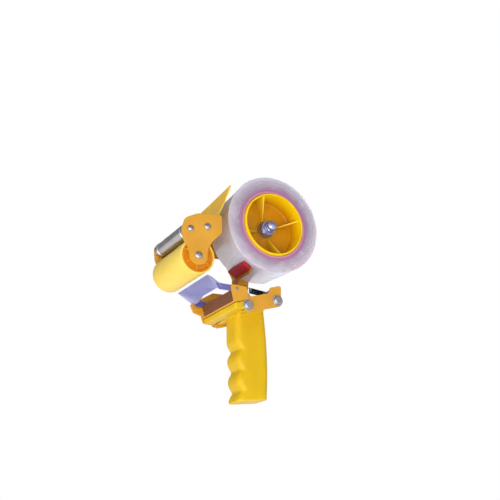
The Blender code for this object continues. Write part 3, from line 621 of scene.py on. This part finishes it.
def make_cap_ribs(node, side, out, outer):
    """Low ribs in the cap's dish, between its boss and its rim."""
    count, inner, half = 6, 6.6, 0.55
    foot, crest = out - 3.2, out - 1.4
    for k in range(count):
        angle = TAU * (k + 0.5) / count
        along = Vector((math.cos(angle), math.sin(angle)))
        across = Vector((-along.y, along.x))
        corners = [along * inner + across * half, along * outer + across * half,
                   along * outer - across * half, along * inner - across * half]
        outline = [(ROLLER[0] + c.x, ROLLER[1] + c.y) for c in corners]
        rib = plate(f"{node}_rib_{k}", [outline], side * foot, side * crest)
        detail(eased(rib, 0.2, 2), BODY_OF[node], "cap_plastic")


def make_guide_roller():
    """Steel tube with a shallow groove near each end."""
    low, high = box_mm("guide_roller")
    radius, half = (high.x - low.x) / 2, (high.y - low.y) / 2
    bore, groove, mouth, bed = 2.75, 32.0, 1.0, 0.6
    bottom = radius - 0.7
    profile = [(radius, half, 0.8)]
    for centre in (groove, -groove):
        profile += [(radius, centre + mouth, 0.2), (bottom, centre + bed, 0.2),
                    (bottom, centre - bed, 0.2), (radius, centre - mouth, 0.2)]
    profile += [(radius, -half, 0.8), (bore, -half, 0.3), (bore, half, 0.3)]
    show(lathe("guide_roller_bar", rounded(profile, 4), GUIDE, 96), "guide_roller", finish=ROLLER_STEEL)


def make_flap():
    """Curved guard sheet on a rolled barrel; its top edge slopes down to the far side."""
    x, z = FLAP
    half = box_mm("flap")[1].y
    thickness, barrel, bore = 1.5, 3.8, 2.6
    spine = [(x + 2.0, z + 2.4), (-57.5, 189.0), (-51.0, 197.5), (-45.0, 210.0), (-40.3, 222.0),
             (-36.4, 233.0)]
    sheet = plate("flap_guard", [strip(curve_through(spine, 8), thickness)], -half, half)
    near_top, far_top, above, past = 233.0, 224.0, 245.0, half + 1
    wedge = [(-past, near_top), (past, far_top), (past, above), (-past, above)]
    sheet = cut(sheet, plate("flap_wedge", [wedge], -60.0, -20.0, "X"))
    ring = rounded([(barrel, half, 0.3), (barrel, -half, 0.3), (bore, -half, 0.2), (bore, half, 0.2)], 3)
    roll = lathe("flap_roll", ring, FLAP, 48)
    show(eased(sheet, 0.4, 3), "flap", finish=FLAP_PAINT)
    detail(roll, "flap", "frame_paint", FLAP_PAINT)


def curve_through(points, steps):
    """Catmull-Rom curve through points in a plane."""
    ends = [points[0]] + list(points) + [points[-1]]
    found = []
    for p0, p1, p2, p3 in zip(ends, ends[1:], ends[2:], ends[3:]):
        p0, p1, p2, p3 = Vector(p0), Vector(p1), Vector(p2), Vector(p3)
        for i in range(steps):
            t = i / steps
            found.append(0.5 * (2 * p1 + (p2 - p0) * t + (2 * p0 - 5 * p1 + 4 * p2 - p3) * t * t
                                + (3 * p1 - p0 - 3 * p2 + p3) * t ** 3))
    return found + [Vector(points[-1])]


def strip(path, thickness):
    """Outline of a sheet of even thickness that follows a bent path."""
    left, right = [], []
    for i, point in enumerate(path):
        run = Vector(path[min(i + 1, len(path) - 1)]) - Vector(path[max(i - 1, 0)])
        side = Vector((-run.y, run.x)).normalized() * thickness / 2
        left.append(tuple(Vector(point) + side))
        right.append(tuple(Vector(point) - side))
    return left + right[::-1]


# ---- hub and roll -------------------------------------------------------
def make_hub():
    """Moulded cup, open to the near side, with four vanes that rise from web to wall."""
    low, high = box_mm("hub")
    near, far, flange = low.y, high.y, (high.x - low.x) / 2
    radius, boss, bore, web = 37.3, 11.0, 4.1, 2.5
    wall, rear = radius - 2.2, far - 2.1
    shell = [(radius, rear, 0.4), (radius, near + 2.0, 1.0), (radius - 0.8, near, 0.5),
             (wall, near, 0.5), (wall, 0.0, 2.2), (boss, 0.0, 1.2), (boss, -web, 0.5), (bore, -web),
             (bore, far), (boss, far, 0.5), (boss, web, 1.2), (wall, web, 2.2), (wall, far, 0.4),
             (flange, far, 0.5), (flange, rear, 0.5)]
    show(lathe("hub_cup", rounded(shell, 5), HUB, 144), "hub")
    root, tip, half = 9.0, wall + 0.8, 0.9
    side = [(root, -2.0), (tip, -22.0), (tip, 1.0), (root, 1.0)]
    swap = Matrix(((1, 0, 0, 0), (0, 0, 1, 0), (0, -1, 0, 0), (0, 0, 0, 1)))
    for k, degrees in enumerate((17, 107, 197, 287)):
        turn = Matrix.Rotation(-math.radians(degrees), 4, "Y")
        vane = plate(f"hub_vane_{k}", [side], -half, half)
        vane.data.transform(Matrix.Translation(Vector((HUB[0], 0, HUB[1])) * MM) @ turn @ swap)
        cleaned(vane)
        detail(eased(vane, 0.45, 3), "hub", "hub_plastic")


def make_roll():
    """Wound film with slightly uneven layers, on its paperboard core."""
    low, high = box_mm("tape_roll")
    outer, half = (high.x - low.x) / 2, high.y
    inner = box_mm("tape_core")[1].x - HUB[0] + 0.1
    corner, sunk, uneven, layers = 0.7, 0.35, 0.12, 30
    dice = random.Random(11)
    side = []
    for i in range(layers + 1):
        r = inner + (outer - corner - inner) * i / layers
        side.append((r, half - sunk + dice.uniform(-uneven, uneven)))
    edge = [(outer - corner + corner * math.sin(a), half - corner + corner * math.cos(a))
            for a in (0.4, 0.8, 1.2, math.pi / 2)]
    top = side + edge
    profile = top + [(r, -y) for r, y in reversed(top)]
    show(lathe("film_roll", profile, HUB, 160, spiral=(outer - 0.75, 0.22)), "tape_roll")
    low, high = box_mm("tape_core")
    outer, inner = (high.x - low.x) / 2, 37.8
    ring = [(outer, high.y, 0.3), (outer, low.y, 0.3), (inner, low.y, 0.4), (inner, high.y, 0.4)]
    show(lathe("core_ring", rounded(ring, 3), HUB, 144), "tape_core")


# ---- fasteners ----------------------------------------------------------
def hex_head(name, corners_mm, centre, low, high, chamfer=0.9):
    """Hexagonal head along Y whose ends are turned down to a cone."""
    corner = corners_mm / 2
    head = lathe(name, [(0, high), (corner, high), (corner, low), (0, low)], centre, 6)
    reach, flat, grow = corner + 0.02, corner * 0.80, 0.001
    cone = [(0, high + grow), (flat, high + grow), (reach, high - chamfer), (reach, low + chamfer),
            (flat, low - grow), (0, low - grow)]
    return cut(head, lathe(name + "_cone", cone, centre, 64), "INTERSECT")


def make_grip_bolts():
    """Hexagonal heads on washers, on both sides of the base."""
    corners, height, top, bottom, outer, inner = 9.8, 3.5, 3.35, 3.75, 6.2, 2.6
    for node in [n for n in SLOT_OF if n.startswith("grip_bolt")]:
        low, high = box_mm(node)
        centre = ((low.x + high.x) / 2, (low.z + high.z) / 2)
        side = -1 if high.y < 0 else 1
        out = max(abs(low.y), abs(high.y))
        head = hex_head(node + "_head", corners, centre, *sorted((side * (out - height), side * out)))
        show(eased(head, 0.18, 2, 25), node)
        washer = rounded([(outer, out - top, 0.2), (outer, out - bottom, 0.2), (inner, out - bottom),
                          (inner, out - top)], 2)
        ring = lathe(node + "_washer", [(r, side * y) for r, y in washer], centre, 64)
        detail(ring, BODY_OF[node], "steel")


def make_axle():
    """Hub bolt with its head on the far side, and the spacer tube round it."""
    low, high = box_mm("hub_axle")
    head = hex_head("axle_head", 15.0, HUB, high.y - 5.5, high.y, 1.2)
    show(eased(head, 0.2, 2, 25), "hub_axle")
    radius, top = 4.0, high.y - 5.0
    shank = rounded([(0, top), (radius, top), (radius, low.y, 0.6), (0, low.y)], 3)
    detail(lathe("axle_shank", shank, HUB, 64), "frame", "zinc")
    low, high = box_mm("hub_spacer")
    outer, bore = 8.0, 4.1
    tube = rounded([(outer, high.y, 0.5), (outer, low.y, 0.5), (bore, low.y, 0.2), (bore, high.y, 0.2)], 3)
    show(lathe("spacer_tube", tube, HUB, 64), "hub_spacer")


def make_tension_stack():
    """Fibre washer, washer, spring and domed cap nut, outward from the hub's boss."""
    rings = (("friction_washer", 10.0, 4.3, 0.15), ("tension_washer", 8.6, 4.3, 0.35))
    for node, outer, inner, edge in rings:
        low, high = box_mm(node)
        ring = rounded([(outer, high.y, edge), (outer, low.y, edge), (inner, low.y, 0.1),
                        (inner, high.y, 0.1)], 3)
        show(lathe(node + "_ring", ring, HUB, 72), node)
    low, high = box_mm("tension_spring")
    turns, per_turn, coil, gauge = 3.0, 36, 6.2, 0.7
    count = int(turns * per_turn)
    points = []
    for i in range(count + 1):
        angle = TAU * i / per_turn
        y = high.y - gauge - (high.y - low.y - 2 * gauge) * i / count
        points.append((HUB[0] + coil * math.cos(angle), y, HUB[1] + coil * math.sin(angle)))
    show(wire("drag_spring", points, gauge), "tension_spring")
    low, high = box_mm("tension_nut")
    body = hex_head("cap_nut", 14.6, HUB, high.y - 5.5, high.y, 1.0)
    show(eased(body, 0.25, 3, 25), "tension_nut")
    neck, radius, foot, shoulder, steps = 5.9, 6.3, high.y - 1.0, high.y - 5.9, 10
    dome = [(0, foot), (neck, foot), (neck, high.y - 5.2), (radius, shoulder)]
    rise = shoulder - low.y
    for i in range(1, steps):
        a = i * math.pi / (2 * steps)
        dome.append((radius * math.cos(a), shoulder - rise * math.sin(a)))
    dome.append((0, low.y))
    detail(lathe("cap_nut_dome", dome, HUB, 72), "nut", "zinc")


def make_small_fasteners():
    """Rivets, small screws, and the threaded adjuster of the brake's spring."""
    for node, centre in (("roller_axle", ROLLER), ("guide_roller_axle", GUIDE), ("flap_pin", FLAP),
                         ("brake_pin", BRAKE)):
        rivet(node, centre)
    for node in ("blade_screw_near", "blade_screw_far", "shelf_screw_near", "shelf_screw_far",
                 "bracket_rivet_near", "bracket_rivet_far"):
        refined(node, 0.2, 2)
    low, high = box_mm("brake_adjuster")
    centre = ((low.y + high.y) / 2, (low.z + high.z) / 2)
    pitch, crest, lead = 0.6, (high.z - low.z) / 2, 0.3
    root = crest - 0.28
    thread = [(0, high.x), (root, high.x)]
    for i in range(int((high.x - low.x - 2 * lead) / pitch)):
        x = high.x - lead - i * pitch
        thread += [(root, x), (crest, x - pitch / 2)]
    thread += [(root, low.x + 0.1), (root, low.x), (0, low.x)]
    show(lathe("adjuster_screw", thread, centre, 48, "X"), "brake_adjuster")
    refined("adjuster_nut", 0.3, 2)


# ---- blade --------------------------------------------------------------
def make_blade():
    """Toothed sheet, ground to an edge along the teeth, between two side arms."""
    tilt, front_x, front_z = math.radians(31.3), -66.7, 125.4
    half, sheet, pitch, tooth = 40.0, 1.0, 2.5, 2.0
    thin, ground = 0.12, 5.0            # at the tips, and how far back the grinding runs
    edge = [(tooth, -half)]
    for i in range(int(2 * half / pitch)):
        edge += [(0.0, -half + (i + 0.5) * pitch), (tooth, -half + (i + 1) * pitch)]
    rear = [(23.3, half), (23.3, 26.0, 4.0), (19.5, 6.0, 6.0), (19.5, -26.0, 6.0), (21.0, -38.0),
            (17.0, -half)]
    outline = rounded(edge + rear)
    shape = bmesh.new()

    def place(u, y, depth):
        """A vertex u back from the tips, y across and depth off the sheet's middle."""
        x = front_x + u * math.cos(tilt) + depth * math.sin(tilt)
        z = front_z - u * math.sin(tilt) + depth * math.cos(tilt)
        return shape.verts.new(Vector((x, y, z)) * MM)

    under = [place(u, y, -sheet / 2) for u, y in outline]
    upper = []
    for u, y in outline:
        grinding = -sheet / 2 + thin + (sheet - thin) * u / ground
        upper.append(place(u, y, grinding if u < ground else sheet / 2))
    count = len(outline)
    for i in range(count):
        j = (i + 1) % count
        shape.faces.new([under[i], under[j], upper[j], upper[i]])
    shape.faces.new(under[::-1])
    inner = [place(ground, y, sheet / 2) for y in (half, -half)]
    teeth = [v for v, (u, _) in zip(upper, outline) if u <= tooth]
    body = [v for v, (u, _) in zip(upper, outline) if u > tooth]
    shape.faces.new(teeth + inner)
    shape.faces.new(body + inner[::-1])
    show(from_bmesh("blade_face", shape, 5), "blade")
    near = [(-56.0, 119.1), (-49.0, 117.9, 3.0), (-25.5, 117.0, 3.0), (-25.5, 110.4, 3.0),
            (-52.0, 111.3, 2.0)]
    far = [(-51.0, 116.3), (-44.0, 117.6, 2.0), (-25.5, 117.0, 3.0), (-25.5, 110.4, 3.0),
           (-43.0, 110.8, 2.0)]
    hole = circle(-31.5, 113.7, 1.9)
    for name, side, arm_outline in (("near", -1, near), ("far", 1, far)):
        arm = plate(f"blade_arm_{name}", [rounded(arm_outline), hole], side * 36.8, side * 38.0)
        detail(eased(arm, 0.25), "frame", "blued_steel")


# ---- brake --------------------------------------------------------------
def make_brake():
    """Rubber pad, and the coil spring that hooks into the arm."""
    refined("brake_pad", 0.7, 4)
    low, high = box_mm("brake_spring")
    y, gauge, coil = (low.y + high.y) / 2, 0.5, 2.7
    hook_x, hook_z, hook_steps, hook_turn = BRAKE[0], 120.2, 12, 250
    start, end, turns, per_turn, drop, front_z = -6.8, 11.2, 14, 28, 2.2, 118.6
    points = []
    for i in range(hook_steps + 1):
        a = math.radians(hook_turn - hook_turn * i / hook_steps)
        points.append((hook_x + 1.7 * math.cos(a), y, hook_z + 0.4 + 1.2 * math.sin(a)))
    points.append((hook_x + 3.0, y, hook_z + 1.2))
    count = turns * per_turn
    for i in range(count + 1):
        angle = TAU * i / per_turn
        points.append((start + (end - start) * i / count, y + coil * math.sin(angle),
                       front_z - drop * i / count + coil * math.cos(angle)))
    points += [(end + 1.0, y, 118.6), (end + 2.4, y, 118.0)]
    show(wire("brake_coil", points, gauge, 3), "brake_spring")


# ---- grip ---------------------------------------------------------------
def make_grip():
    """Moulded grip: the CAD solid remeshed and eased into soft moulded edges."""
    source = frame["nodes"]["grip"]
    grip = new_object("grip_moulding", source.data.copy())
    cleaned(grip)
    remesh = grip.modifiers.new("skin", "REMESH")
    remesh.mode = "VOXEL"
    remesh.voxel_size = 0.8 * MM
    remesh.use_smooth_shade = True
    ease = grip.modifiers.new("ease", "SMOOTH")
    ease.factor = 0.5
    ease.iterations = 7
    grip = to_mesh(grip)
    smooth(grip.data, 60)
    show(grip, "grip")


# ---- stage --------------------------------------------------------------
def plain(name, colour, roughness):
    m = Finish(name)
    m.set(Base_Color=(*colour, 1.0), Roughness=roughness)
    return m


def make_stage():
    bpy.ops.mesh.primitive_plane_add(size=40.0, location=(0.0, 0.0, FLOOR_Z))
    floor = bpy.context.object
    floor.name = "floor"
    paper = plain("pale_floor", (0.50, 0.50, 0.51), 0.7)
    paper.set(Emission_Color=(1.0, 1.0, 1.0, 1.0), Emission_Strength=FLOOR_GLOW)
    floor.data.materials.append(paper.material)
    world = bpy.data.worlds.new("studio")
    bpy.context.scene.world = world
    world.use_nodes = True
    tree = world.node_tree
    seen, light = tree.nodes["Background"], tree.nodes.new("ShaderNodeBackground")
    seen.inputs["Color"].default_value = (1.0, 1.0, 1.0, 1.0)
    light.inputs["Color"].default_value = (0.97, 0.98, 1.0, 1.0)
    light.inputs["Strength"].default_value = AMBIENT
    both = tree.nodes.new("ShaderNodeMixShader")
    tree.links.new(tree.nodes.new("ShaderNodeLightPath").outputs["Is Camera Ray"], both.inputs["Fac"])
    tree.links.new(light.outputs[0], both.inputs[1])
    tree.links.new(seen.outputs[0], both.inputs[2])
    tree.links.new(both.outputs[0], tree.nodes["World Output"].inputs["Surface"])
    bpy.context.scene.view_settings.view_transform = "Standard"


def area_light(name, place, target, size, power, colour=(1.0, 1.0, 1.0)):
    light = bpy.data.lights.new(name, "AREA")
    light.shape = "RECTANGLE"
    light.size, light.size_y = size
    light.energy = power
    light.color = colour
    lamp = new_object(name, light)
    lamp.location = place
    lamp.rotation_euler = (Vector(target) - Vector(place)).to_track_quat("-Z", "Y").to_euler()
    lamp.visible_camera = False


def make_lights():
    middle = (0.0, 0.0, 0.14)
    area_light("key", (-0.35, -0.50, -0.20), middle, (0.5, 0.5), 4.2)
    area_light("front", (-1.5, -0.7, 0.45), middle, (1.0, 1.0), 5.5)
    area_light("side", (0.3, -1.6, 0.5), middle, (0.9, 0.9), 1.6)
    area_light("back", (0.7, 1.3, 0.8), middle, (1.2, 1.2), 10.0)


def make_camera():
    data = bpy.data.cameras.new("camera")
    data.lens = CAMERA_LENS
    data.sensor_width = 36.0
    camera = new_object("camera", data)
    aim = (Vector(CAMERA_TARGET) - Vector(CAMERA_PLACE)).to_track_quat("-Z", "Y")
    camera.matrix_world = (Matrix.Translation(CAMERA_PLACE) @ aim.to_matrix().to_4x4()
                           @ Matrix.Rotation(CAMERA_ROLL, 4, "Z"))
    bpy.context.scene.camera = camera


make_camera()
make_stage()
make_lights()
make_sheet_parts()
make_roller()
make_guide_roller()
make_flap()
make_hub()
make_roll()
make_axle()
make_tension_stack()
make_small_fasteners()
make_grip_bolts()
make_blade()
make_brake()
make_grip()
